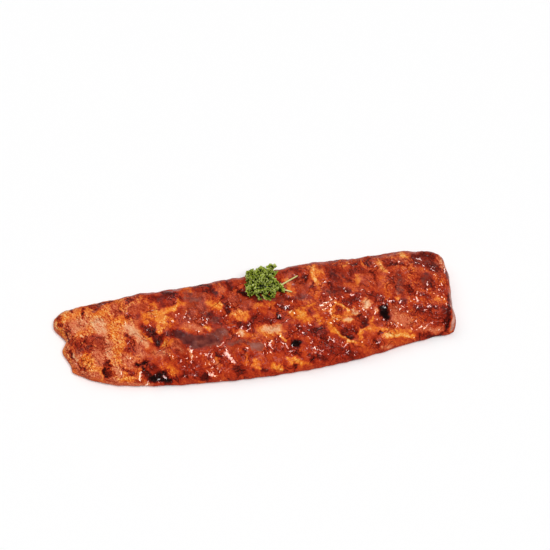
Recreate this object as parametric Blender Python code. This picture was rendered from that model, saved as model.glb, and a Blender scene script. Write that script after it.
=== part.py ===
"""A rack of glazed pork spare ribs with a sprig of curly parsley lying on it.

Metres, +Z up. The rack lies on its bone side, its long axis along X, and the origin is under its middle.
"""

import math

import bmesh
import bpy
import numpy as np
from mathutils import Matrix, Vector

# Driving dimensions of the rack. Its length and width between the rims are means, and only space the cells.
LENGTH = 0.400
WIDTH = 0.112
CROWN = 0.0235
FRONT_THIN = 0.005
RIM_HEIGHT = 0.0065
RIB_PITCH = 0.031
RIB_SLANT = math.radians(17)
CELL = 0.0055

# Outline of the rack, seen from above: edges as (x, y), ends as (share of the width from the front, x).
FRONT_EDGE = [
    (-0.190, -0.022), (-0.173, -0.033), (-0.153, -0.0415), (-0.108, -0.0505), (-0.048, -0.0565),
    (0.065, -0.0575), (0.107, -0.0535), (0.152, -0.046), (0.195, -0.042),
]
BACK_EDGE = [
    (-0.194, 0.043), (-0.168, 0.048), (-0.128, 0.051), (-0.023, 0.0535), (0.067, 0.0585),
    (0.117, 0.057), (0.175, 0.0545), (0.195, 0.049),
]
LEFT_END = [
    (0.0, -0.190), (0.14, -0.1915), (0.36, -0.1975), (0.52, -0.193), (0.62, -0.1955), (0.82, -0.2045),
    (0.94, -0.201), (1.0, -0.194),
]
RIGHT_END = [(0.0, 0.195), (0.07, 0.1985), (0.30, 0.200), (0.70, 0.2035), (0.92, 0.201), (1.0, 0.195)]

# How far in from each rim the top rounds over, and how far the underside does.
ROUND_FRONT = 0.024
ROUND_BACK = 0.015
ROUND_LEFT = 0.014
ROUND_RIGHT = 0.008
ROUND_BELOW = 0.006

# Relief: nicks in the rim, humps of muscle and hollows burnt or pulled into them, as (x, y, radius, height).
NICK = 0.0011
NICK_SIZE = 0.013
HUMP_SPREAD = 0.6
HUMP_SIZES = [(0.046, 0.0026, 11), (0.021, 0.0019, 12), (0.0115, 0.0009, 13)]
RIB_RISE = 0.0013
HUMPS = [
    (-0.087, -0.025, 0.018, 0.0030), (-0.175, -0.029, 0.014, 0.0028), (-0.189, 0.028, 0.013, 0.0022),
    (-0.025, -0.039, 0.017, 0.0022), (0.147, -0.026, 0.018, 0.0024), (0.001, 0.007, 0.015, 0.0016),
    (-0.121, 0.004, 0.012, 0.0018), (0.057, -0.043, 0.018, 0.0016), (0.183, 0.013, 0.015, 0.0014),
]
HOLLOWS = [
    (-0.155, -0.035, 0.008, -0.0052), (-0.052, -0.014, 0.015, -0.0026), (-0.069, -0.005, 0.010, -0.0018),
    (-0.120, -0.030, 0.008, -0.0032), (-0.105, -0.049, 0.009, -0.0030), (0.128, -0.012, 0.008, -0.0040),
    (0.033, -0.033, 0.007, -0.0030), (-0.189, -0.011, 0.008, -0.0036), (-0.028, 0.013, 0.006, -0.0026),
    (0.089, -0.032, 0.010, -0.0022), (0.192, -0.033, 0.009, -0.0030), (-0.101, -0.009, 0.009, -0.0030),
]
BONE_GROOVE = 0.0032

# The parsley sprig: where its head lies, how it is turned, its leaflets as (x, y, height, radius), stalks.
SPRIG = (0.013, 0.035)
SPRIG_TURN = math.radians(-9.7)
LEAFLETS = [
    (-0.0140, 0.000, 0.0040, 0.0072), (-0.0115, -0.009, 0.0040, 0.0072), (-0.0120, 0.009, 0.0040, 0.0070),
    (-0.0030, -0.012, 0.0040, 0.0074), (-0.0030, 0.012, 0.0045, 0.0070), (0.0080, 0.014, 0.0065, 0.0070),
    (0.0060, -0.012, 0.0040, 0.0074), (0.0135, -0.008, 0.0040, 0.0076), (-0.0090, 0.000, 0.0100, 0.0078),
    (-0.0040, -0.007, 0.0100, 0.0074), (-0.0030, 0.006, 0.0110, 0.0074), (0.0020, -0.001, 0.0120, 0.0078),
    (0.0085, -0.005, 0.0095, 0.0076), (0.0050, 0.007, 0.0085, 0.0068),
]
LEAF_THICK = 0.0009
LEAF_HEEL = 0.18
LEAF_SPREAD = math.radians(118)
LEAF_WAVES = 4
LEAF_RUFFLE = 0.30
LEAF_ROWS = 2
LEAF_COLUMNS = 9
STEEP_HEIGHT = 0.0110
CORE_SIZE = (0.0145, 0.0120, 0.0068)
STALK_RADIUS = 0.0009
STALK_SIDES = 6
STALKS = [
    [(0.004, -0.002, 0.0045), (0.015, -0.003, 0.0045), (0.025, 0.003, 0.0040), (0.035, 0.010, 0.0030)],
    [(0.005, -0.005, 0.0045), (0.019, -0.007, 0.0040), (0.029, -0.009, 0.0025)],
]
GAP = 0.0004
MERGE = 0.000002


def through(stations, at):
    """A smooth curve through the stations (where, value), of cubic pieces with their neighbours' slopes."""
    where, value = np.array(stations).T
    slope = np.gradient(value, where)
    k = np.clip(np.searchsorted(where, at, side="right") - 1, 0, len(where) - 2)
    width = where[k + 1] - where[k]
    f = (at - where[k]) / width
    start = (1 + 2 * f) * (1 - f) ** 2 * value[k] + f * (1 - f) ** 2 * width * slope[k]
    end = f * f * (3 - 2 * f) * value[k + 1] - f * f * (1 - f) * width * slope[k + 1]
    return start + end


def bumps(x, y, size, seed):
    """Smooth bumps of about this size, from -1 to 1: seeded slopes on a square lattice, eased between."""
    turn = np.random.default_rng(seed).uniform(0, 2 * np.pi, (64, 64))
    u, v = x / size, y / size
    i, j = np.floor(u).astype(int), np.floor(v).astype(int)
    fu, fv = u - i, v - j

    def corner(di, dj):
        angle = turn[(i + di) % 64, (j + dj) % 64]
        return np.cos(angle) * (fu - di) + np.sin(angle) * (fv - dj)

    ease_u, ease_v = (f**3 * (f * (f * 6 - 15) + 10) for f in (fu, fv))
    low = corner(0, 0) * (1 - ease_u) + corner(1, 0) * ease_u
    high = corner(0, 1) * (1 - ease_u) + corner(1, 1) * ease_u
    return 1.5 * (low * (1 - ease_v) + high * ease_v)


def rounded(distance, radius):
    """The height of a quarter circle, 0 at the rim and 1 from one radius in."""
    return np.sqrt(1 - (1 - np.clip(distance / radius, 0, 1)) ** 2)


def spaced(length, first_round, last_round):
    """Distances from rim to rim, about a cell apart both over the rounded edges and on the flat between."""

    def arc(radius):
        steps = max(2, round(radius * math.pi / 2 / CELL))
        return radius * (1 - np.cos(np.linspace(0, math.pi / 2, steps + 1)[:-1]))

    flat = length - first_round - last_round
    middle = np.linspace(first_round, length - last_round, round(flat / CELL) + 1)
    return np.concatenate([arc(first_round), middle, length - arc(last_round)[::-1]])


def rib_phase(x, y):
    """How far along the row of ribs a point lies, in ribs: they cross the rack at a slant."""
    return (x + y * math.tan(RIB_SLANT)) / RIB_PITCH


def rack_surfaces(u, v):
    """The rack's top and underside over u, along it, and v, across it from the front, both from 0 to 1.

    The outline comes from its four sides. Each height is a rounded edge times the thickness, plus the relief.
    """
    front_x = FRONT_EDGE[0][0] + u * (FRONT_EDGE[-1][0] - FRONT_EDGE[0][0])
    back_x = BACK_EDGE[0][0] + u * (BACK_EDGE[-1][0] - BACK_EDGE[0][0])
    front, back = through(FRONT_EDGE, front_x), through(BACK_EDGE, back_x)
    left, right = through(LEFT_END, v), through(RIGHT_END, v)
    x = left + (right - left) * u
    y = front + (back - front) * v
    y = y + NICK * bumps(x, y * 0, NICK_SIZE, 21) * (1 - 2 * v)
    x = x + NICK * bumps(y, x * 0, NICK_SIZE, 22) * (1 - 2 * u)

    length, width = right - left, back - front
    edge = rounded(u * length, ROUND_LEFT) * rounded((1 - u) * length, ROUND_RIGHT)
    edge = edge * rounded(v * width, ROUND_FRONT) * rounded((1 - v) * width, ROUND_BACK)
    relief = sum(high * bumps(x, y, size, seed) for size, high, seed in HUMP_SIZES)
    for at_x, at_y, radius, high in HUMPS + HOLLOWS:
        distance_squared = (x - at_x) ** 2 + (y - at_y) ** 2
        relief = relief + high * np.exp(-distance_squared / (HUMP_SPREAD * radius**2))
    fades_to_the_back = np.clip(1.2 - 1.4 * v, 0, 1)
    relief = relief + RIB_RISE * np.cos(2 * np.pi * rib_phase(x, y)) * fades_to_the_back
    thickness = CROWN - FRONT_THIN * (1 - v) ** 2 + relief
    top = RIM_HEIGHT + (thickness - RIM_HEIGHT) * edge

    below = rounded(u * length, ROUND_BELOW) * rounded((1 - u) * length, ROUND_BELOW)
    below = below * rounded(v * width, ROUND_BELOW) * rounded((1 - v) * width, ROUND_BELOW)
    between_ribs = np.clip(-np.cos(2 * np.pi * rib_phase(x, y)) - 0.1, 0, 1)
    groove = BONE_GROOVE * between_ribs
    underside = RIM_HEIGHT * (1 - below) + groove * below**4
    return np.stack([x, y, top], -1), np.stack([x, y, underside], -1)


def material(name, colour, roughness):
    """A Principled finish of one colour."""
    made = bpy.data.materials.new(name)
    made.use_nodes = True
    shader = made.node_tree.nodes["Principled BSDF"]
    shader.inputs["Base Color"].default_value = (*colour, 1.0)
    shader.inputs["Roughness"].default_value = roughness
    return made


def add_object(name, bm, finish=None):
    """Puts the bmesh in the scene as an object of this name."""
    mesh = bpy.data.meshes.new(name)
    bm.to_mesh(mesh)
    bm.free()
    made = bpy.data.objects.new(name, mesh)
    if finish:
        mesh.materials.append(finish)
    bpy.context.scene.collection.objects.link(made)
    return made


def rib_rack():
    """One closed slab: a grid for the top and one for the underside, sewn together round the rim."""
    along = spaced(LENGTH, ROUND_LEFT, ROUND_RIGHT) / LENGTH
    across = spaced(WIDTH, ROUND_FRONT, ROUND_BACK) / WIDTH
    u, v = np.meshgrid(along, across, indexing="ij")
    bm = bmesh.new()
    for surface, faces_down in zip(rack_surfaces(u, v), (False, True)):
        made = bmesh.ops.create_grid(bm, x_segments=len(along) - 1, y_segments=len(across) - 1, size=1)
        for vert in made["verts"]:
            i = round((vert.co.x + 1) / 2 * (len(along) - 1))
            j = round((vert.co.y + 1) / 2 * (len(across) - 1))
            vert.co = surface[i, j]
        if faces_down:
            faces = {face for vert in made["verts"] for face in vert.link_faces}
            bmesh.ops.reverse_faces(bm, faces=list(faces))
    rims = [vert for vert in bm.verts if vert.is_boundary]
    bmesh.ops.remove_doubles(bm, verts=rims, dist=MERGE)
    bmesh.ops.triangulate(bm, faces=bm.faces)
    made = add_object("rib_rack", bm, material("glazed_pork", (0.38, 0.095, 0.028), 0.30))
    made.data.shade_smooth()
    return made


def leaflet(number, spot):
    """A fan of leaf, a thin solid with both faces split alike. It ruffles more towards its edge.

    A low leaflet lies out from the head's middle, and a high one stands up more.
    """
    at_x, at_y, height, radius = spot
    steep = min(1.0, height / STEEP_HEIGHT)
    bm = bmesh.new()
    bmesh.ops.create_grid(bm, x_segments=LEAF_ROWS, y_segments=LEAF_COLUMNS, size=1)
    for vert in bm.verts:
        r = LEAF_HEEL + (1 - LEAF_HEEL) * (vert.co.x + 1) / 2
        angle = LEAF_SPREAD * vert.co.y
        wave = LEAF_RUFFLE * math.sin(LEAF_WAVES * angle + number) * r * r
        reach = r * (1 + 0.12 * math.cos(2 * LEAF_WAVES * angle))
        rise = wave + (0.1 + 0.3 * steep) * r * r
        vert.co = radius * Vector((reach * math.cos(angle), reach * math.sin(angle), rise))
    bmesh.ops.triangulate(bm, faces=bm.faces, quad_method="FIXED")
    outward = math.atan2(at_y, at_x) + 0.4 * math.sin(2.3 * number)
    turn = Matrix.Rotation(outward, 4, "Z") @ Matrix.Rotation(-0.5 * steep, 4, "Y")
    bmesh.ops.transform(bm, matrix=Matrix.Translation((at_x, at_y, height)) @ turn, verts=bm.verts)
    bmesh.ops.solidify(bm, geom=bm.faces[:], thickness=LEAF_THICK)
    bmesh.ops.recalc_face_normals(bm, faces=bm.faces)
    return add_object(f"leaflet_{number}", bm)


def stalk(number, route):
    """A thin round stalk: a ring carried along its route, with both ends capped."""
    bm = bmesh.new()
    rings = []
    for k, point in enumerate(route):
        after = Vector(route[min(k + 1, len(route) - 1)])
        before = Vector(route[max(k - 1, 0)])
        turn = (after - before).to_track_quat("Z", "Y").to_matrix().to_4x4()
        ring = bmesh.ops.create_circle(bm, segments=STALK_SIDES, radius=STALK_RADIUS)["verts"]
        bmesh.ops.transform(bm, matrix=Matrix.Translation(point) @ turn, verts=ring)
        rings.append(ring)
    for first, second in zip(rings, rings[1:]):
        for k in range(STALK_SIDES):
            after = (k + 1) % STALK_SIDES
            bm.faces.new((first[k], first[after], second[after], second[k]))
    for end in (rings[0], rings[-1]):
        bm.faces.new(end)
    bmesh.ops.triangulate(bm, faces=bm.faces)
    bmesh.ops.recalc_face_normals(bm, faces=bm.faces)
    return add_object(f"stalk_{number}", bm)


def keep_largest_shell(bm):
    """Drops loose scraps and the walls of sealed hollows, so that one closed body is left."""
    unseen, shells = set(bm.verts), []
    while unseen:
        shell, frontier = set(), [unseen.pop()]
        while frontier:
            vert = frontier.pop()
            shell.add(vert)
            for edge in vert.link_edges:
                other = edge.other_vert(vert)
                if other in unseen:
                    unseen.remove(other)
                    frontier.append(other)
        shells.append(shell)
    shells.sort(key=len)
    for shell in shells[:-1]:
        bmesh.ops.delete(bm, geom=list(shell), context="VERTS")


def bed_height(rack):
    """The rack's height under the middle of the sprig's head, looked up from above."""
    hit, place, _, _ = rack.ray_cast(Vector((*SPRIG, 2 * CROWN)), Vector((0, 0, -1)))
    return place.z if hit else CROWN


def parsley_sprig(rack):
    """Leaflets and stalks fused on a small core by one union, then cut clear of the rack that they lie on."""
    bm = bmesh.new()
    bmesh.ops.create_icosphere(bm, subdivisions=2, radius=1)
    bmesh.ops.scale(bm, vec=CORE_SIZE, verts=bm.verts)
    bmesh.ops.translate(bm, vec=(0, 0, CORE_SIZE[2] * 0.6), verts=bm.verts)
    sprig = add_object("parsley_sprig", bm, material("curly_parsley", (0.11, 0.25, 0.035), 0.55))

    pieces = bpy.data.collections.new("sprig_pieces")
    bpy.context.scene.collection.children.link(pieces)
    parts = [leaflet(number, spot) for number, spot in enumerate(LEAFLETS)]
    parts += [stalk(number, route) for number, route in enumerate(STALKS)]
    for part in parts:
        bpy.context.scene.collection.objects.unlink(part)
        pieces.objects.link(part)
    for part in [sprig, *parts]:
        part.location = (*SPRIG, bed_height(rack))
        part.rotation_euler = (0, 0, SPRIG_TURN)
    ground = rack.copy()
    ground.location.z = GAP
    bpy.context.scene.collection.objects.link(ground)

    union = sprig.modifiers.new("leaflets", "BOOLEAN")
    union.operation = "UNION"
    union.operand_type = "COLLECTION"
    union.collection = pieces
    union.solver = "MANIFOLD"
    cut = sprig.modifiers.new("bed", "BOOLEAN")
    cut.operation = "DIFFERENCE"
    cut.object = ground
    cut.solver = "MANIFOLD"
    bpy.context.view_layer.update()
    graph = bpy.context.evaluated_depsgraph_get()
    sprig.data = bpy.data.meshes.new_from_object(sprig.evaluated_get(graph), depsgraph=graph)
    sprig.data.name = sprig.name
    sprig.modifiers.clear()
    for helper in [*parts, ground]:
        bpy.data.objects.remove(helper)
    bpy.data.collections.remove(pieces)

    bm = bmesh.new()
    bm.from_mesh(sprig.data)
    bmesh.ops.triangulate(bm, faces=bm.faces)
    bmesh.ops.dissolve_degenerate(bm, edges=bm.edges, dist=MERGE)
    keep_largest_shell(bm)
    bm.to_mesh(sprig.data)
    bm.free()


for leftover in list(bpy.data.objects):
    bpy.data.objects.remove(leftover)
parsley_sprig(rib_rack())
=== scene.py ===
"""The looks of a rack of glazed pork ribs with a sprig of curly parsley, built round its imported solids.

Metres, +Z up.
"""

import math

import bpy
import numpy as np
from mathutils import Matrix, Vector


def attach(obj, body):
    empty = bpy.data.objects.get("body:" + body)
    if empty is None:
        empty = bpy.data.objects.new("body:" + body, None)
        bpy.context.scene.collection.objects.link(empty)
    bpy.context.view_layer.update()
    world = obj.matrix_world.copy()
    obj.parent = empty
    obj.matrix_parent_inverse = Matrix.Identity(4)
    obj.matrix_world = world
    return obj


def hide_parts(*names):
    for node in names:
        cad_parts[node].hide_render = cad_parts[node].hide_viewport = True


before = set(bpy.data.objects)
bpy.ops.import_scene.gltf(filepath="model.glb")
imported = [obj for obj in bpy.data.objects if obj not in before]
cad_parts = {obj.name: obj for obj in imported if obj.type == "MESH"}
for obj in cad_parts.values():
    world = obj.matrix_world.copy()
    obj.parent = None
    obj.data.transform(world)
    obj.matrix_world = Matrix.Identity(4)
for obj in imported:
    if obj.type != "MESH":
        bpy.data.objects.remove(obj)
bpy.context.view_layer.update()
MM = 0.001

# The rack
# A slab of rib meat, roasted bone side down and basted until it is sticky. It is one closed sheet: a grid for
# the top and one for the bone side, sharing their rim. The form repeats the solid's, with finer relief on it.

LENGTH = 0.400
WIDTH = 0.112
CROWN = 0.0235
FRONT_THIN = 0.005
RIM_HEIGHT = 0.0065
RIB_PITCH = 0.031
RIB_SLANT = math.radians(17)
FRONT_EDGE = [
    (-0.190, -0.022), (-0.173, -0.033), (-0.153, -0.0415), (-0.108, -0.0505), (-0.048, -0.0565),
    (0.065, -0.0575), (0.107, -0.0535), (0.152, -0.046), (0.195, -0.042),
]
BACK_EDGE = [
    (-0.194, 0.043), (-0.168, 0.048), (-0.128, 0.051), (-0.023, 0.0535), (0.067, 0.0585),
    (0.117, 0.057), (0.175, 0.0545), (0.195, 0.049),
]
LEFT_END = [
    (0.0, -0.190), (0.14, -0.1915), (0.36, -0.1975), (0.52, -0.193), (0.62, -0.1955), (0.82, -0.2045),
    (0.94, -0.201), (1.0, -0.194),
]
RIGHT_END = [(0.0, 0.195), (0.07, 0.1985), (0.30, 0.200), (0.70, 0.2035), (0.92, 0.201), (1.0, 0.195)]
ROUND_FRONT = 0.024
ROUND_BACK = 0.015
ROUND_LEFT = 0.014
ROUND_RIGHT = 0.008
ROUND_BELOW = 0.006
NICK = 0.0011
NICK_SIZE = 0.013
HUMP_SPREAD = 0.6
HUMP_SIZES = [(0.046, 0.0026, 11), (0.021, 0.0019, 12), (0.0115, 0.0009, 13)]
RIB_RISE = 0.0013
HUMPS = [
    (-0.087, -0.025, 0.018, 0.003), (-0.175, -0.029, 0.014, 0.0028), (-0.189, 0.028, 0.013, 0.0022),
    (-0.025, -0.039, 0.017, 0.0022), (0.147, -0.026, 0.018, 0.0024), (0.001, 0.007, 0.015, 0.0016),
    (-0.121, 0.004, 0.012, 0.0018), (0.057, -0.043, 0.018, 0.0016), (0.183, 0.013, 0.015, 0.0014),
]
HOLLOWS = [
    (-0.155, -0.035, 0.008, -0.0052), (-0.052, -0.014, 0.015, -0.0026), (-0.069, -0.005, 0.01, -0.0018),
    (-0.12, -0.03, 0.008, -0.0032), (-0.105, -0.049, 0.009, -0.003), (0.128, -0.012, 0.008, -0.004),
    (0.033, -0.033, 0.007, -0.003), (-0.189, -0.011, 0.008, -0.0036), (-0.028, 0.013, 0.006, -0.0026),
    (0.089, -0.032, 0.01, -0.0022), (0.192, -0.033, 0.009, -0.003), (-0.101, -0.009, 0.009, -0.003),
]
BONE_GROOVE = 0.0032
CELL = 0.00107

# Marks of the roasting, each a stroke (x, y, x, y, half width, browning) in millimetres on the unrolled top:
# 0 is black char, 0.25 dark maroon glaze, 0.5 red-brown, 0.65 orange-brown, 0.85 yellow fat and 1 its palest.
FAT_STREAKS = [
    (-170, 45, -166, 38, 2.5, 0.68), (-160, 30, -145, 33, 5, 0.78), (-150, 26, -135, 24, 3, 0.74),
    (-172, 14, -165, 22, 5, 0.72), (-142, 17, -139, -9, 6, 0.79), (-141, -14, -140, -15, 3, 0.78),
    (-145, -20, -134, -30, 4.5, 0.78), (-172, -18, -165, -34, 6, 0.76), (-168, -22, -163, -40, 3, 0.84),
    (-168, -40, -162, -46, 3, 0.78), (-141, -41, -134, -49, 4, 0.76), (-139, -43, -137, -45, 2.5, 0.84),
    (-117, 2, -112, -6, 2.5, 0.72), (-112, -6, -107, -9, 2, 0.84), (-98, 18, -93, 12, 4.6, 0.84),
    (-102, 31, -98, 20, 3, 0.86), (-97, 21, -82, 24, 3, 0.87), (-82, 23, -77, 27, 2, 0.88),
    (-110, 22, -99, 17, 4, 0.82), (-97, 12, -92, 7, 3.5, 0.84), (-99, 6, -98, 1, 2.5, 0.86),
    (-112, 14, -106, 17, 3, 0.74), (-104, 28, -106, 35, 3, 0.64), (-127, 32, -116, 35, 2.5, 0.86),
    (-136, 40, -131, 34, 3, 0.74), (-92, 2, -85, 10, 3, 0.68), (-75, 0, -70, -4, 3, 0.72),
    (-96, -15, -82, -13, 4, 0.76), (-92, -26, -90, -32, 4, 0.62), (-100, -38, -97, -42, 4, 0.7),
    (-94, -43, -89, -47, 4, 0.74), (-114, -22, -108, -28, 4, 0.62), (-66, 48, -62, 42, 3.5, 0.78),
    (-70, 44, -66, 34, 3, 0.66), (-34, 46, -30, 33, 3.5, 0.66), (-74, 30, -68, 28, 3.5, 0.8),
    (-47, 23, -36, 18, 4, 0.86), (-34, 24, -32, 18, 2, 0.84), (-45, 18, -47, 14, 2, 0.78),
    (-52, -2, -48, -4, 2.2, 0.86), (-67, 0, -60, -2, 2.5, 0.74), (-22, 8, -10, 4, 4, 0.78),
    (-16, 8, -15, 4, 2.5, 0.82), (-19, 2, -12, 0, 2.5, 0.74), (0, 10, 14, 2, 5, 0.6),
    (14, 13, 18, 10, 2, 0.74), (-17, 33, -22, 25, 2, 0.62), (0, 42, 4, 36, 3, 0.64),
    (6, 36, 11, 24, 1.8, 0.74), (14, 25, 22, 25, 3, 0.68), (20, 31, 27, 24, 1.5, 0.74),
    (39, 34, 39, 22, 3, 0.72), (38, 25, 41, 22, 2.5, 0.84), (60, 20, 64, 10, 4, 0.62),
    (62, 14, 68, 22, 3, 0.66), (66, 46, 67, 30, 4, 0.86), (70, 40, 73, 32, 3, 0.8),
    (64, 34, 68, 30, 2.5, 0.92), (74, 36, 70, 20, 3, 0.68), (-28, 0, -24, -12, 2.5, 0.6),
    (-15, -15, -4, -20, 2.5, 0.74), (2, -16, 14, -18, 6, 0.8), (17, -18, 24, -31, 1.4, 0.88),
    (22, -16, 26, -20, 2.5, 0.7), (38, -2, 48, -10, 6, 0.8), (44, 2, 46, -4, 3, 0.88),
    (46, 3, 60, 5, 2.2, 0.76), (60, -9, 61, -16, 3, 0.8), (-58, -44, -56, -50, 3, 0.6),
    (-12, -52, -6, -46, 2.5, 0.72), (8, -57, 16, -55, 3, 0.76), (24, -56, 27, -52, 2.5, 0.74),
    (30, -55, 44, -60, 2.5, 0.72), (0, -46, 20, -48, 6, 0.57), (70, -18, 74, -28, 4, 0.74),
    (102, 48, 98, 44, 2.5, 0.74), (110, 28, 104, 20, 4, 0.8), (95, 22, 104, 18, 2.5, 0.66),
    (132, 42, 138, 30, 3, 0.82), (132, 22, 136, 2, 4, 0.66), (145, 46, 152, 42, 3, 0.64),
    (158, 48, 161, 41, 3.5, 0.84), (147, 30, 168, 27, 2.5, 0.7), (168, 26, 182, 22, 2, 0.66),
    (147, 2, 143, -2, 1.8, 0.84), (154, -4, 156, -8, 2.5, 0.62), (165, 20, 170, 8, 5, 0.56),
    (188, 14, 192, 8, 3, 0.66), (182, -8, 190, -13, 4, 0.7), (162, -4, 170, -10, 4, 0.58),
    (81, 4, 76, -12, 1.6, 0.88), (84, 2, 92, -8, 1.4, 0.88), (76, -12, 86, -17, 3, 0.82),
    (86, -16, 93, -19, 2.2, 1), (82, -12, 98, -12, 2.5, 0.76), (60, -1, 76, -6, 3, 0.66),
    (152, -22, 162, -30, 5, 0.62), (73, -28, 80, -33, 2, 0.84), (80, -34, 86, -40, 1.8, 0.86),
    (86, -41, 96, -42, 2, 0.95), (97, -42, 100, -34, 2, 0.78), (100, -33, 112, -30, 2.2, 0.8),
    (112, -31, 125, -34, 1.6, 0.78), (112, -28, 116, -18, 2, 0.72), (118, -34, 150, -40, 1.5, 0.76),
    (126, -41, 136, -43, 3.6, 0.94), (140, -43, 152, -47, 2.8, 0.9), (108, -38, 104, -45, 2, 0.62),
    (98, -46, 108, -56, 5, 0.58), (128, -50, 148, -52, 4, 0.64), (116, 18, 126, 10, 4, 0.58),
    (44, -38, 50, -42, 4, 0.56), (8, -56, 15, -60, 2.8, 0.84), (24, -50, 27, -56, 2.4, 0.82),
    (31, -52, 36, -58, 2.4, 0.84), (-10, -46, -6, -56, 2.8, 0.76), (-17, -40, -18, -48, 2.6, 0.68),
    (37, 38, 41, 20, 3.4, 0.78), (60, 34, 58, 28, 2, 0.66), (-46, -38, -45, -47, 2, 0.72),
    (99, -46, 101, -57, 2.4, 0.66), (2, 14, 12, 9, 2.2, 0.72), (12, 16, 20, 12, 1.8, 0.72),
    (-5, 18, 1, 10, 2, 0.68), (46, 13, 56, 9, 2.2, 0.7), (52, 24, 56, 16, 1.8, 0.68),
    (90, 34, 96, 26, 1.8, 0.66), (116, 46, 120, 38, 1.8, 0.68),
]
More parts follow.
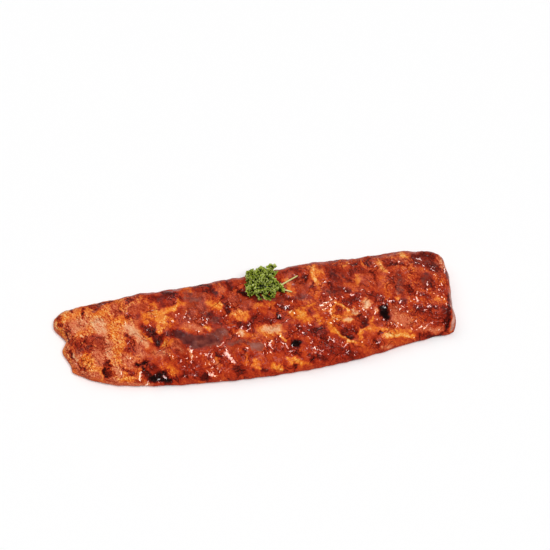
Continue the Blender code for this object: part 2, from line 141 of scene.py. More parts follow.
DARK_SEAMS = [
    (-198, 36, -196, 32, 2.5, 0.42), (-198, 27, -195, 24, 2.2, 0.42), (-182, 43, -182, 37, 1.2, 0.35),
    (-172, 40, -171, 28, 1.3, 0.44), (-166, 43, -143, 44, 3, 0.32), (-163, 41, -158, 37, 2.5, 0.45),
    # (-193, 14, -189, 5) is painted shadow in a notch of the left end.
    (-182, -1, -171, -8, 5, 0.38), (-176, 3, -168, -2, 2, 0.4), (-193, 14, -189, 5, 1.5, 0.25),
    (-191, -6, -186, -15, 3, 0.28), (-187, -24, -178, -30, 4, 0.46), (-156, -24, -154, -44, 3.4, 0.24),
    (-154, -22, -152, -28, 2.5, 0.3), (-161, -5, -163, -11, 2, 0.42), (-149, 12, -146, -8, 2.2, 0.6),
    (-140, 11, -139, 10, 2, 0.5), (-147, -10, -141, -14, 2.5, 0.58), (-150, -12, -147, -22, 1.8, 0.42),
    (-152, -30, -147, -38, 2.5, 0.4), (-139, -33, -131, -40, 3.5, 0.42), (-133, 3, -127, -1, 2.2, 0.28),
    (-130, -7, -125, -16, 4, 0.42), (-137, -12, -131, -15, 2.5, 0.42), (-114, 10, -108, 2, 3, 0.36),
    (-107, 3, -99, -13, 4, 0.2), (-101, -9, -99, -14, 2.5, 0.1), (-97, -3, -84, -7, 4, 0.34),
    (-83, -3, -77, -11, 3.5, 0.26), (-92, 30, -84, 28, 3.5, 0.44), (-100, 39, -88, 36, 4, 0.38),
    (-86, 44, -80, 40, 4, 0.28), (-75, 36, -68, 33, 3, 0.36), (-126, 40, -120, 38, 3, 0.36),
    (-127, 24, -117, 22, 2.8, 0.42), (-134, 28, -130, 22, 1.8, 0.45), (-146, 23, -143, 18, 3, 0.38),
    (-78, -20, -75, -32, 4, 0.52), (-86, -30, -84, -36, 3.5, 0.42), (-110, -38, -104, -42, 4, 0.36),
    (-114, -32, -108, -36, 3, 0.34), (-120, -36, -119, -42, 1.5, 0.14), (-118, -42, -112, -50, 4, 0.25),
    (-90, -52, -80, -50, 5, 0.42), (-68, -53, -62, -58, 3, 0.2), (-75, -40, -66, -50, 6, 0.44),
    (-57, 44, -50, 40, 4, 0.44), (-43, 38, -38, 33, 3.5, 0.28), (-40, 43, -41, 40, 2, 0.3),
    (-30, 32, -29, 24, 2, 0.3), (-28, 19, -27, 12, 2.2, 0.12), (-31, 26, -30, 20, 2, 0.34),
    (-6, 12, -3, -4, 3, 0.34), (-23, 46, -20, 36, 2.5, 0.3), (-20, 36, -12, 30, 2, 0.2),
    (0, 27, 5, 24, 3, 0.3), (3, 29, 4, 27, 3, 0.34), (15, 33, 25, 36, 4, 0.36), (30, 22, 34, 26, 3, 0.4),
    (24, 10, 32, 5, 4, 0.34), (55, 38, 64, 22, 2.2, 0.22), (2, -2, 12, -7, 5, 0.36),
    (-30, -8, -25, -16, 2, 0.42), (-20, -3, -10, -6, 4, 0.34), (52, -2, 56, -5, 2.5, 0.38),
    (50, -22, 62, -28, 6, 0.36), (30, -20, 44, -22, 4, 0.42), (28, -42, 34, -47, 3, 0.38),
    (-28, -51, -24, -57, 3, 0.26), (-60, -54, -58, -60, 2.5, 0.2), (54, -52, 60, -58, 3, 0.3),
    (62, -42, 76, -55, 8, 0.42), (84, 38, 96, 28, 6, 0.34), (88, 18, 96, 15, 3, 0.3),
    (80, 24, 84, 16, 3, 0.28), (124, 32, 127, 24, 3, 0.34), (112, 34, 122, 44, 5, 0.4),
    (140, 38, 158, 34, 2.5, 0.34), (157, 10, 160, 0, 3, 0.3), (172, 42, 188, 40, 4, 0.22),
    (184, 30, 192, 24, 4.5, 0.22), (170, 34, 178, 30, 3, 0.4), (200, 18, 204, 10, 1.5, 0.1),
    (196, -8, 193, -28, 2.5, 0.14), (96, 2, 105, 6, 4, 0.36), (118, 6, 122, 0, 3, 0.42),
    (130, -2, 150, -6, 4, 0.36), (162, -20, 178, -26, 5, 0.44), (170, -30, 182, -38, 5, 0.46),
    (162, -16, 180, -18, 2.5, 0.36), (84, -28, 96, -32, 4, 0.36), (82, -34, 90, -37, 1.6, 0.16),
    (104, -29, 108, -22, 2.8, 0.18), (118, -37, 126, -36, 1.8, 0.25), (62, -45, 90, -58, 7, 0.42),
    (82, -52, 88, -58, 4, 0.34), (113, -44, 116, -52, 2.5, 0.34), (165, -51, 185, -49.5, 2, 0.3),
    (160, -47, 170, -46, 2, 0.34), (100, -14, 106, -20, 3, 0.4), (178, 18, 183, 2, 2, 0.34),
    (170, -2, 176, -6, 2.5, 0.4), (106, 34, 110, 44, 4, 0.38), (-45, -34, -42, -46, 3, 0.4),
    (188.5, -20, 189.5, -46, 3.8, 0.34), (-186, 4, -178, 0, 5, 0.5), (-170, 6, -160, 2, 4, 0.5),
    (-190, 20, -184, 14, 3, 0.5), (-20, -40, -8, -44, 4, 0.42), (14, -40, 22, -46, 3.5, 0.38),
    (-3, -55, 0, -61, 2, 0.3), (18, -50, 20, -57, 1.8, 0.34), (28, -56, 30, -61, 1.6, 0.3),
    (46, -50, 47, -57, 2, 0.34), (-13, -50, -12, -58, 1.4, 0.34), (58, 36, 62, 24, 2.6, 0.24),
    (30, 34, 33, 24, 1.8, 0.34), (46, 40, 50, 32, 2, 0.4), (7, 6, 18, 4, 1.6, 0.36),
    (-3, 22, 6, 18, 2, 0.34), (34, 17, 44, 13, 2.2, 0.33), (20, 20, 28, 17, 2.4, 0.36),
    (45, 23, 49, 15, 1.8, 0.38), (44, 49, 52, 45, 2, 0.36), (104, 36, 100, 28, 1.8, 0.36),
    (126, 16, 124, 6, 1.8, 0.38),
]
CHAR = [
    (-126, -32, -116, -30, 1.8, 0.18), (-112, -49, -98, -54, 3.8, 0.03), (-106, -47, -98, -46, 2.5, 0.08),
    (34, -33, 35, -34, 3.6, 0), (128, -11, 127, -22, 3.8, 0), (21, -3, 24, -5, 2.5, 0.18),
    # (-10, 30, -2, 27), beside the parsley, is its painted shadow over the end of a dark groove.
    (191.5, -24, 190.5, -42, 2.2, 0.24), (-10, 30, -2, 27, 3.0, 0.2), (-52, 50, -44, 47, 2.2, 0.16),
    (-158, -31, -157, -40, 1.4, 0.12),
]
LEAN_SHOWING = [
    (-182, 20, -172, 22, 5, 0.72), (-176, 8, -175, 7, 1.2, 0.95), (-194, 2, -191, -3, 2, 0.72),
    (-186, -9, -184, -15, 1.5, 0.9), (-178, -13, -185, -16, 1.5, 0.82), (-189, -18, -187, -27, 3, 0.66),
    (-184, -32, -165, -38, 3, 0.64), (-160, 20, -155, 6, 5, 0.86), (-156, 4, -150, -6, 3, 0.72),
    (-154, -6, -150, -19, 3.5, 0.8), (-160, 2, -157, -10, 4.5, 0.46), (-163, -12, -160, -22, 4, 0.66),
    (-147, -33, -143, -41, 2.5, 0.78), (-153, -44, -148, -50, 3, 0.66), (-130, -30, -136, -22, 4, 0.64),
    (-128, 12, -123, 4, 4.5, 0.88), (-124, 4, -117, -8, 4, 0.87), (-116, -10, -112, -13, 2.5, 0.84),
    (-121, -13, -118, -24, 3.5, 0.62), (-122, 30, -112, 30, 4, 0.52), (-141, 36, -138, 29, 3.5, 0.52),
    (-104, -22, -98, -25, 4.5, 0.68), (-84, -18, -80, -24, 4, 0.6), (-160, -48, -140, -52, 1.5, 0.74),
    (-140, -52, -112, -56, 1.5, 0.74), (-58, 34, -52, 30, 5, 0.5), (-64, 22, -52, 18, 5, 0.48),
    (-66, 12, -60, 4, 5, 0.44), (-70, 2, -58, -5, 3.5, 0.7), (-32, -14, -28, -20, 4, 0.46),
    (-20, 22, -8, 18, 6, 0.47), (-18, -13, -17, -15, 2.8, 0.92), (8, -14, 18, -16, 4, 0.92),
    (45, 36, 52, 28, 5, 0.44), (150, 40, 160, 38, 2, 0.52), (197, 38, 200, 26, 3.5, 0.78),
    (112, -2, 112, -4, 4.2, 1), (88, -16, 92, -18, 2.2, 0.98), (121, -9, 121, -11, 2.2, 0.86),
    (136, -18, 140, -12, 4, 0.52), (132, -22, 148, -30, 6, 0.68), (120, -54, 130, -56, 2, 0.72),
    (172, -44, 186, -43, 2.8, 0.68), (160, -40, 168, -40, 3, 0.6), (66, 2, 78, 6, 2.5, 0.66),
    (98, -8, 99, -12, 1.8, 0.86), (-50, -41, -46, -46, 2, 0.62), (-72, -24, -71, -34, 1.2, 0.74),
]
# Glaze pools and films, coloured partly by a painted reflection, palest on the right end wall's strip.
THICK_GLAZE = [
    (-80, -6, -72, -13, 4, 0.36), (-72, -13, -62, -18, 5.5, 0.38), (-62, -17, -46, -17, 6.5, 0.42),
    (-48, -15, -36, -11, 5, 0.44), (-7, -31, -3, -33, 4.4, 0.7), (206.5, 38, 206.5, 0, 3.2, 0.95),
    (201.5, -6, 199.5, -28, 3.2, 0.92), (199, -34, 197.5, -46, 2.8, 1.0),
]
THIN_GLAZE = [
    (-30, -24, -10, -26, 4, 0.56), (-160, 34, -151, 42, 3, 0.34), (-132, 49, -120, 48, 3, 0.34),
    (2, 19, 14, 17, 3, 0.36), (14, 17, 19, 16, 3, 0.36), (22, 18, 29, 14, 4, 0.5),
    (43, 17, 51, 17, 5, 0.38), (76, 16, 86, 14, 4.5, 0.38), (151, 24, 148, 6, 5.5, 0.36),
    (175, 15, 178, 5, 4.5, 0.36), (-51, 13, -42, 9, 5, 0.42), (-46, 6, -38, 3, 5, 0.32),
    (-172, -6, -178, -9, 5, 0.44), (-66, 38, -56, 28, 6, 0.46), (176, 36, 190, 30, 6, 0.34),
    (84, 36, 94, 30, 6, 0.42),
]


def through(stations, at):
    """A smooth curve through the stations (where, value), of cubic pieces with their neighbours' slopes."""
    where, value = np.array(stations).T
    slope = np.gradient(value, where)
    k = np.clip(np.searchsorted(where, at, side="right") - 1, 0, len(where) - 2)
    width = where[k + 1] - where[k]
    f = (at - where[k]) / width
    start = (1 + 2 * f) * (1 - f) ** 2 * value[k] + f * (1 - f) ** 2 * width * slope[k]
    end = f * f * (3 - 2 * f) * value[k + 1] - f * f * (1 - f) * width * slope[k + 1]
    return start + end


def bumps(x, y, size, seed):
    """Smooth bumps of about this size, from -1 to 1: seeded slopes on a square lattice, eased between."""
    turn = np.random.default_rng(seed).uniform(0, 2 * np.pi, (64, 64))
    u, v = x / size, y / size
    i, j = np.floor(u).astype(int), np.floor(v).astype(int)
    fu, fv = u - i, v - j

    def corner(di, dj):
        angle = turn[(i + di) % 64, (j + dj) % 64]
        return np.cos(angle) * (fu - di) + np.sin(angle) * (fv - dj)

    ease_u, ease_v = (f**3 * (f * (f * 6 - 15) + 10) for f in (fu, fv))
    low = corner(0, 0) * (1 - ease_u) + corner(1, 0) * ease_u
    high = corner(0, 1) * (1 - ease_u) + corner(1, 1) * ease_u
    return 1.5 * (low * (1 - ease_v) + high * ease_v)


def rough(x, y, size, seed, octaves=3):
    """Bumps of a size, with smaller ones on them: each octave half the size and 0.6 as high."""
    return sum(0.6**k * bumps(x, y, size / 2**k, seed + 100 * k) for k in range(octaves))


def eased(value, low=0.0, high=1.0):
    """0 below low, 1 above high, and the cubic 3t^2 - 2t^3 between."""
    t = np.clip((value - low) / (high - low), 0, 1)
    return t * t * (3 - 2 * t)


def rounded(distance, radius):
    """The height of a quarter circle, 0 at the rim and 1 from one radius in."""
    return np.sqrt(1 - (1 - np.clip(distance / radius, 0, 1)) ** 2)


def spaced(length, first_round, last_round):
    """Distances from rim to rim, about a cell apart both over the rounded edges and on the flat between."""

    def arc(radius):
        steps = round(radius * math.pi / 2 / CELL)
        return radius * (1 - np.cos(np.linspace(0, math.pi / 2, steps + 1)[:-1]))

    flat = length - first_round - last_round
    middle = np.linspace(first_round, length - last_round, round(flat / CELL) + 1)
    return np.concatenate([arc(first_round), middle, length - arc(last_round)[::-1]])


def rib_phase(x, y):
    """How far along the row of ribs a point lies, in ribs: they cross the rack at a slant."""
    return (x + y * math.tan(RIB_SLANT)) / RIB_PITCH


def rack_surfaces(u, v):
    """The rack's top and underside over u, along it, and v, across it from the front, both from 0 to 1.

    The outline comes from its four sides. Each height is a rounded edge times the thickness, plus the relief.
    """
    front_x = FRONT_EDGE[0][0] + u * (FRONT_EDGE[-1][0] - FRONT_EDGE[0][0])
    back_x = BACK_EDGE[0][0] + u * (BACK_EDGE[-1][0] - BACK_EDGE[0][0])
    front, back = through(FRONT_EDGE, front_x), through(BACK_EDGE, back_x)
    left, right = through(LEFT_END, v), through(RIGHT_END, v)
    x = left + (right - left) * u
    y = front + (back - front) * v
    y = y + NICK * bumps(x, y * 0, NICK_SIZE, 21) * (1 - 2 * v)
    x = x + NICK * bumps(y, x * 0, NICK_SIZE, 22) * (1 - 2 * u)

    length, width = right - left, back - front
    edge = rounded(u * length, ROUND_LEFT) * rounded((1 - u) * length, ROUND_RIGHT)
    edge = edge * rounded(v * width, ROUND_FRONT) * rounded((1 - v) * width, ROUND_BACK)
    relief = sum(high * bumps(x, y, size, seed) for size, high, seed in HUMP_SIZES)
    for at_x, at_y, radius, high in HUMPS + HOLLOWS:
        distance_squared = (x - at_x) ** 2 + (y - at_y) ** 2
        relief = relief + high * np.exp(-distance_squared / (HUMP_SPREAD * radius**2))
    fades_to_the_back = np.clip(1.2 - 1.4 * v, 0, 1)
    relief = relief + RIB_RISE * np.cos(2 * np.pi * rib_phase(x, y)) * fades_to_the_back
    thickness = CROWN - FRONT_THIN * (1 - v) ** 2 + relief
    top = RIM_HEIGHT + (thickness - RIM_HEIGHT) * edge

    below = rounded(u * length, ROUND_BELOW) * rounded((1 - u) * length, ROUND_BELOW)
    below = below * rounded(v * width, ROUND_BELOW) * rounded((1 - v) * width, ROUND_BELOW)
    between_ribs = np.clip(-np.cos(2 * np.pi * rib_phase(x, y)) - 0.1, 0, 1)
    groove = BONE_GROOVE * between_ribs
    underside = RIM_HEIGHT * (1 - below) + groove * below**4
    return np.stack([x, y, top], -1), np.stack([x, y, underside], -1)


def normals(grid):
    """The unit normal at each point of a grid of points: the cross product of its two running directions."""
    across = np.cross(np.gradient(grid, axis=0), np.gradient(grid, axis=1))
    return across / np.linalg.norm(across, axis=-1, keepdims=True)


def strokes(marks, x, y, power=2):
    """(share, browning) of a list of strokes at each point, the later strokes over the earlier.

    A share is 2^-(d/w)^power at the distance d from the line, with the half width w: crisper with more power.
    """
    share, browning = np.zeros_like(x), np.zeros_like(x)
    for x1, y1, x2, y2, half_width, value in marks:
        run_x, run_y = x2 - x1, y2 - y1
        along = np.clip(((x - x1) * run_x + (y - y1) * run_y) / max(run_x**2 + run_y**2, 1e-6), 0, 1)
        distance = np.hypot(x - x1 - along * run_x, y - y1 - along * run_y) / half_width
        here = 0.5 ** (distance**power)
        browning = browning * (1 - here) + value * here
        share = share + here - share * here
    return share, browning / np.maximum(share, 1e-6)


def fibres(x, y, degrees, size, seed):
    """Bumps five times as long as wide: strands of this width, running at this angle."""
    c, s = math.cos(math.radians(degrees)), math.sin(math.radians(degrees))
    return bumps((x * c + y * s) / 5, y * c - x * s, size, seed)


def blurred(values, steps):
    """The grid of values averaged this many times with its four neighbours."""
    for _ in range(steps):
        wide = np.pad(values, 1, mode="edge")
        values = 0.2 * (values + wide[:-2, 1:-1] + wide[2:, 1:-1] + wide[1:-1, :-2] + wide[1:-1, 2:])
    return values


def grid_faces(index):
    """The quads of a grid of point numbers, turning from the first direction to the second."""
    return np.stack([index[:-1, :-1], index[1:, :-1], index[1:, 1:], index[:-1, 1:]], -1).reshape(-1, 4)


def mesh_object(name, points, faces, attributes):
    """A smooth mesh object of these points and quads, with a float attribute at its points for each name."""
    mesh = bpy.data.meshes.new(name)
    mesh.vertices.add(len(points))
    mesh.vertices.foreach_set("co", points.astype(np.float32).ravel())
    mesh.loops.add(faces.size)
    mesh.loops.foreach_set("vertex_index", faces.astype(np.int32).ravel())
    mesh.polygons.add(len(faces))
    mesh.polygons.foreach_set("loop_start", np.arange(0, faces.size, faces.shape[1], dtype=np.int32))
    mesh.update(calc_edges=True)
    for key, values in attributes.items():
        layer = mesh.attributes.new(key, "FLOAT", "POINT")
        layer.data.foreach_set("value", values.astype(np.float32).ravel())
    mesh.shade_smooth()
    made = bpy.data.objects.new(name, mesh)
    bpy.context.scene.collection.objects.link(made)
    return made


def linear(hex_colour):
    """An sRGB hex colour as the linear RGBA that shaders take."""
    shares = [int(hex_colour[k : k + 2], 16) / 255 for k in (1, 3, 5)]
    return (*(s / 12.92 if s <= 0.04045 else ((s + 0.055) / 1.055) ** 2.4 for s in shares), 1.0)


def add(tree, kind, settings=None, stops=(), out=0, **inputs):
    """Adds a node of this kind with its settings and, for a colour ramp, its stops (place, hex colour).

    An input, by its name or as i and its number, gets a value or a link from a socket. It gives one output.
    """
    node = tree.nodes.new("ShaderNode" + kind)
    for key, value in (settings or {}).items():
        setattr(node, key, value)
    if stops:
        elements = node.color_ramp.elements
        while len(elements) < len(stops):
            elements.new(0.5)
        for element, (position, colour) in zip(elements, stops):
            element.position = position
            element.color = linear(colour)
    for key, value in inputs.items():
        numbered = key[0] == "i" and key[1:].isdigit()
        socket = node.inputs[int(key[1:]) if numbered else key.replace("_", " ")]
        if isinstance(value, bpy.types.NodeSocket):
            tree.links.new(value, socket)
        else:
            socket.default_value = value
    return node.outputs[out]


def new_material(name):
    """An empty node material with its Principled shader."""
    material = bpy.data.materials.new(name)
    material.use_nodes = True
    return material, material.node_tree, material.node_tree.nodes["Principled BSDF"]


along = spaced(LENGTH, ROUND_LEFT, ROUND_RIGHT) / LENGTH
across = spaced(WIDTH, ROUND_FRONT, ROUND_BACK) / WIDTH
u, v = np.meshgrid(along, across, indexing="ij")
top, under = rack_surfaces(u, v)

# The unrolled top, in millimetres: past each edge the marks carry on down the wall by a share of its drop. It
# wanders by (how far, bump size), so that no mark has a straight side.
WALL_SHARE = 0.58
WALL_FROM = 0.020
WANDER = (1.8, 9)
FINE_WANDER = (1.4, 3.4)
drop = WALL_SHARE * np.maximum(WALL_FROM - top[..., 2], 0)
sheet_x = (top[..., 0] + drop * (eased(u, 0.94, 1.0) - eased(1 - u, 0.94, 1.0))) / MM
sheet_y = (top[..., 1] + drop * (eased(v, 0.7, 1.0) - eased(1 - v, 0.5, 1.0))) / MM
wander_x, wander_y = (
    sheet + WANDER[0] * bumps(sheet_x, sheet_y, WANDER[1], seed)
    + FINE_WANDER[0] * bumps(sheet_x, sheet_y, FINE_WANDER[1], seed + 1)
    for sheet, seed in ((sheet_x, 31), (sheet_y, 33))
)
# Where thick glaze and glints are drawn: it wanders less, so they keep smoother rims.
smooth_x = 0.3 * sheet_x + 0.7 * wander_x
smooth_y = 0.3 * sheet_y + 0.7 * wander_y

# Beads and ridges of glaze whose front throws back the light: (x, y, length, degrees, half width) in mm. More
# small ones are scattered.
GLINTS = [
    (-124, -45, 8, 80, 1.8), (-120, -40, 4, 60, 0.9), (-99, -50, 6, -60, 1.6), (-70, -24, 7, 80, 0.8),
    (-71, -34, 7, 85, 0.8), (-53, -56, 6, -25, 1.9), (-56, -51, 5, -60, 1), (-50, -42, 7, -75, 0.8),
    (-51, -35, 8, 70, 0.8), (-46, -52, 4, 80, 0.8), (-33.5, -38.5, 13, -58, 2.6), (-37, -33, 5, -20, 1.2),
    (-54, -32, 3, 40, 0.8), (-60, -5, 8, 88, 0.7), (-61, 8, 2, 30, 0.8), (-54, 6, 2, 60, 0.8),
    (-66, 9, 2, 60, 0.8), (-70, 15, 4, 80, 0.7), (-32, 6.5, 8, 52, 0.9), (-40, -22, 10, 25, 0.9),
    (-36, -25, 4, -60, 0.8), (-24, -33, 3, -30, 0.8), (-30, 1, 3, 80, 0.7), (-10, -11, 5, 20, 1.2),
    (-17, -8, 3, 70, 0.8), (-22, -14, 4, 60, 0.8), (3, -33, 4, 80, 0.8), (9, -32, 4, 60, 1.9),
    (10, -37, 3, -60, 1.1), (5, -41, 3, 30, 0.8), (24, -37, 7, -60, 1.1), (26, -43, 4, 10, 1),
    (21, -33, 3, -20, 0.8), (31, -36, 5, 80, 0.7), (28, -10, 4, 50, 0.9), (33, -13, 2, 0, 0.8),
    (26, 9, 2, 60, 0.8), (30, 5, 3, 30, 0.8), (34, 9, 2, 0, 0.8), (39, 12, 3, 60, 0.8),
    (22, -3, 3, 40, 0.8), (14, -6, 3, 70, 0.7), (51, -17, 7, -55, 0.8), (43, -26, 4, -40, 0.9),
    (48, -31, 5, -30, 0.9), (50, -36, 4, 40, 1.1), (53, -45, 4, -20, 0.9), (58, -47, 3, -20, 0.9),
    (55, -50, 4, 10, 0.9), (68, -35, 4, 60, 1.1), (71, -38, 4, -40, 1.1), (66, 3, 4, 20, 1.1),
    (72, 5, 5, 10, 1), (75, 1, 4, -30, 1), (78, 7, 3, 30, 1), (70, -3, 4, 40, 0.8), (75, -7, 8, 80, 0.9),
    (84, -53, 4, 20, 1.1), (82, -45, 4, 60, 1), (115, -48, 4, 20, 0.9), (108, -8, 4, 70, 0.9),
    (118, -14, 4, 60, 1), (110, 12, 3, 50, 0.9), (136, -4, 4, -10, 0.9), (146, -6, 4, 60, 0.9),
    (144, -14, 4, 70, 1), (163, -8, 4, 70, 1), (162, -15, 4, 70, 1), (170, -19, 5, -10, 0.9),
    (165, 1, 3, 80, 0.8), (176, 2, 4, 60, 0.9), (178, 8, 4, 80, 0.9), (192, 5, 3, 70, 0.8),
    (192, -17, 3, 80, 1), (161, -37, 4, 40, 1), (165, -40, 4, 20, 1), (171, -35, 9, 40, 0.7),
    (188, -38, 4, 20, 0.9), (175, 38, 5, 20, 1), (188, 26, 5, -40, 1), (198, 20, 7, 85, 0.8),
    (128, -9, 3, 80, 0.9), (100, -44, 3, 30, 0.8), (93, -30, 3, -40, 0.8), (101, 9, 3, 30, 0.8),
    (-150, 42, 4, 0, 0.9), (-130, -25, 3, 60, 0.8), (-110, 5, 3, 60, 0.8), (-118, -55, 5, 5, 0.9),
    (-105, -52, 4, 10, 1), (-187, -20, 3, 60, 0.8), (-142, -38, 4, 80, 0.8), (133, -31, 6, -35, 0.8),
    (137, -34, 4, -20, 0.8), (88, 30, 3, 60, 0.8), (-84, 9, 3, -30, 0.9), (-80, -42, 4, 0, 0.9),
    (-80, -53, 3, 60, 0.9), (-71, -53, 3, 60, 0.9), (105, 2, 3, 80, 0.7), (95, 0, 3, 30, 0.7),
    (-92, -4, 3, 70, 0.7), (-176, -3, 3, 80, 0.8), (120, -22, 3, 60, 0.7),
]
RANDOM_GLINTS = 26
# Where the film of glaze has dried in wrinkles and beads: strokes with how strongly.
WRINKLED = [
    (-190, -20, -185, 10, 5, 0.4), (-128, -30, -118, -28, 5, 0.8), (-125, -48, -100, -52, 5, 0.9),
    (-135, 0, -120, -12, 5, 0.5), (-112, 5, -85, 12, 6, 0.6), (-97, -22, -75, -42, 8, 0.7),
    (-72, -20, -70, -36, 3, 1), (-60, -35, -45, -57, 7, 1), (-70, 15, -52, 3, 5, 0.8),
    (-45, -24, -30, -45, 6, 1), (-30, 12, -26, 20, 4, 0.7), (-24, -14, -8, -8, 4, 0.8),
    (0, -34, 12, -38, 5, 1), (18, -30, 30, -45, 4, 1), (22, 10, 36, 0, 6, 0.7), (40, -25, 60, -50, 8, 1),
    (64, 4, 82, 2, 5, 1), (68, 0, 76, -14, 4, 1), (66, -34, 74, -40, 3, 1), (78, -42, 88, -55, 4, 0.9),
    (95, 14, 112, -8, 6, 0.8), (100, -10, 122, -24, 5, 0.7), (130, -2, 152, -16, 6, 0.9),
    (128, -28, 140, -34, 4, 0.8), (156, -34, 178, -42, 5, 1), (160, -5, 178, -20, 5, 0.8),
    (165, 8, 182, 0, 6, 0.7), (172, 36, 190, 22, 5, 0.8), (188, 0, 195, -20, 4, 0.8),
    (105, 50, 115, 40, 5, 0.5), (80, 34, 95, 25, 5, 0.4),
]

CRISP = 2.6
CHAR_CRISP = 3
POOL_CRISP = 2.4
THIN_SHARE = 0.55
fat_share, fat_brown = strokes(FAT_STREAKS, wander_x, wander_y, CRISP)
dark_share, dark_brown = strokes(DARK_SEAMS, wander_x, wander_y, CRISP)
char_share, char_brown = strokes(CHAR, wander_x, wander_y, CHAR_CRISP)
lean_share, lean_brown = strokes(LEAN_SHOWING, wander_x, wander_y, CRISP)
pool_share, pool_brown = strokes(THICK_GLAZE, smooth_x, smooth_y, POOL_CRISP)
thin_share, thin_brown = strokes(THIN_GLAZE, wander_x, wander_y)
thin_share = THIN_SHARE * thin_share

# The browning: paler and drier at the left, the strokes laid over one another, then streaks and grain. Then
# the contrast is raised and the deepest tones are held back, all but the char.
PLAIN_BROWNING = 0.545
DRY_PALER = 0.25
STEEP = -72
STRAND_WIDTH = 1.9
STREAK_WIDTH = 3.4
CONTRAST = 0.8
DEEP = 0.31
dry_left = eased(-sheet_x, 95, 150)
front_gloss = eased(-sheet_y, 18, 34) * (1 - dry_left)
blotches = (0.062 - 0.024 * dry_left) * rough(wander_x, wander_y, 13, 41)
browning = PLAIN_BROWNING + DRY_PALER * dry_left + blotches
for share, value in (
    (dark_share, dark_brown), (fat_share, fat_brown), (lean_share, lean_brown), (thin_share, thin_brown),
    (pool_share, pool_brown),
):
    browning = browning * (1 - share) + value * share
leaning = eased(bumps(sheet_x, sheet_y, 30, 45), -0.3, 0.3)
strands = leaning * fibres(sheet_x, sheet_y, STEEP, STRAND_WIDTH, 46)
strands = strands + (1 - leaning) * fibres(sheet_x, sheet_y, -35, STRAND_WIDTH, 47)
streaks = leaning * fibres(wander_x, wander_y, STEEP, STREAK_WIDTH, 48)
streaks = streaks + (1 - leaning) * fibres(wander_x, wander_y, -40, STREAK_WIDTH, 49)
grainy = (0.030 - 0.004 * dry_left) * rough(wander_x, wander_y, 6, 42, 2)
grainy = grainy + 0.05 * strands + (0.058 - 0.03 * dry_left) * streaks
browning = browning + grainy * (1 - 0.9 * pool_share)
browning = browning + CONTRAST * (browning - blurred(browning, 3)) * (1 - 0.5 * pool_share)
browning = np.maximum(browning, DEEP + 0.35 * (browning - DEEP))
browning = browning * (1 - char_share) + char_brown * char_share

# Where pink lean meat shows through, where the glaze lies thick, and where it is wet.
rosy = 0.25 * dry_left + 0.25 * eased(sheet_y, 0, 20) * (0.2 + 0.8 * eased(sheet_x, -60, 20))
rosy = rosy + 0.14 * eased(sheet_x, 60, 110)
rosy = rosy + (0.2 + 0.3 * dry_left) * bumps(sheet_x, sheet_y, 12, 43)
lean = np.clip(rosy * (1 - 0.7 * fat_share) + lean_share, 0, 1) * (1 - char_share)
thick = (1 - (1 - pool_share) * (1 - thin_share)) * (1 - char_share)
wet = 0.6 + 0.1 * front_gloss - 0.5 * dry_left + 0.5 * bumps(sheet_x, sheet_y, 12, 44)
rise_to_the_back = np.gradient(top[..., 2], axis=1) / np.gradient(top[..., 1], axis=1)
wet = wet * (1 - 0.95 * eased(rise_to_the_back, 0.06, 0.22)) * (1 - 0.8 * char_share)
wet = np.clip(wet, 0, 1) * eased(rounded((1 - v) * WIDTH, ROUND_BACK), 0.3, 0.9)
wet = wet * eased(rounded(v * WIDTH, ROUND_FRONT), 0.2, 0.7)

# How knobbly the film of glaze is, how much fibre shows, and the dry walls, which are calmer and darker.
wrinkled_share, wrinkled_how = strokes(WRINKLED, sheet_x, sheet_y)
knobbly = np.clip(0.15 + 0.4 * bumps(sheet_x, sheet_y, 16, 45), 0, 1)
knobbly = knobbly * (1 - wrinkled_share) + wrinkled_how * wrinkled_share
knobbly = knobbly * (1 - 0.95 * pool_share) * (1 - 0.5 * dry_left) * (1 - 0.35 * front_gloss)
fibrous = 0.45 + 1.3 * bumps(sheet_x, sheet_y, 17, 47) - 0.4 * front_gloss
fibrous = fibrous + 0.5 * dry_left + 0.25 * eased(sheet_x, 90, 140)
fibrous = (np.clip(fibrous, 0, 1) + 0.4 * dry_left) * (1 - pool_share * (1 - eased(sheet_x, 195, 199)))
wall = eased(0.014 - top[..., 2], 0, 0.006)
fibrous = fibrous * (1 - 0.55 * wall)
browning = browning - 0.13 * wall * dry_left * browning

# Relief finer than the solid's: swells of 11 mm, lumps of 6.5 mm and grain of 2.6 mm, all smoothed where the
# glaze lies thick. Fat stands up, and seams and char are sunk. It fades towards the rim.
LUMPS = 0.00042
GRAIN = 0.00016
SWELLS = 0.0008
STRANDS = 0.00012
FAT_RISE = 0.0003
SEAM_DEPTH = 0.0004
CHAR_DEPTH = 0.0010
RIM_FADE = 0.006
smooth = 1 - 0.9 * thick
fine = LUMPS * rough(wander_x, wander_y, 6.5, 51, 2) + GRAIN * bumps(sheet_x, sheet_y, 2.6, 52)
fine = fine + SWELLS * (0.4 + 0.6 * front_gloss) * bumps(sheet_x, sheet_y, 11, 53)
fine = fine + STRANDS * strands
fine = fine * smooth + FAT_RISE * fat_share * smooth - SEAM_DEPTH * dark_share - CHAR_DEPTH * char_share
fine = fine * eased(rounded(np.minimum(v, 1 - v) * WIDTH, RIM_FADE))
fine = fine * eased(rounded(np.minimum(u, 1 - u) * LENGTH, RIM_FADE))
top = top + normals(top) * fine[..., None]

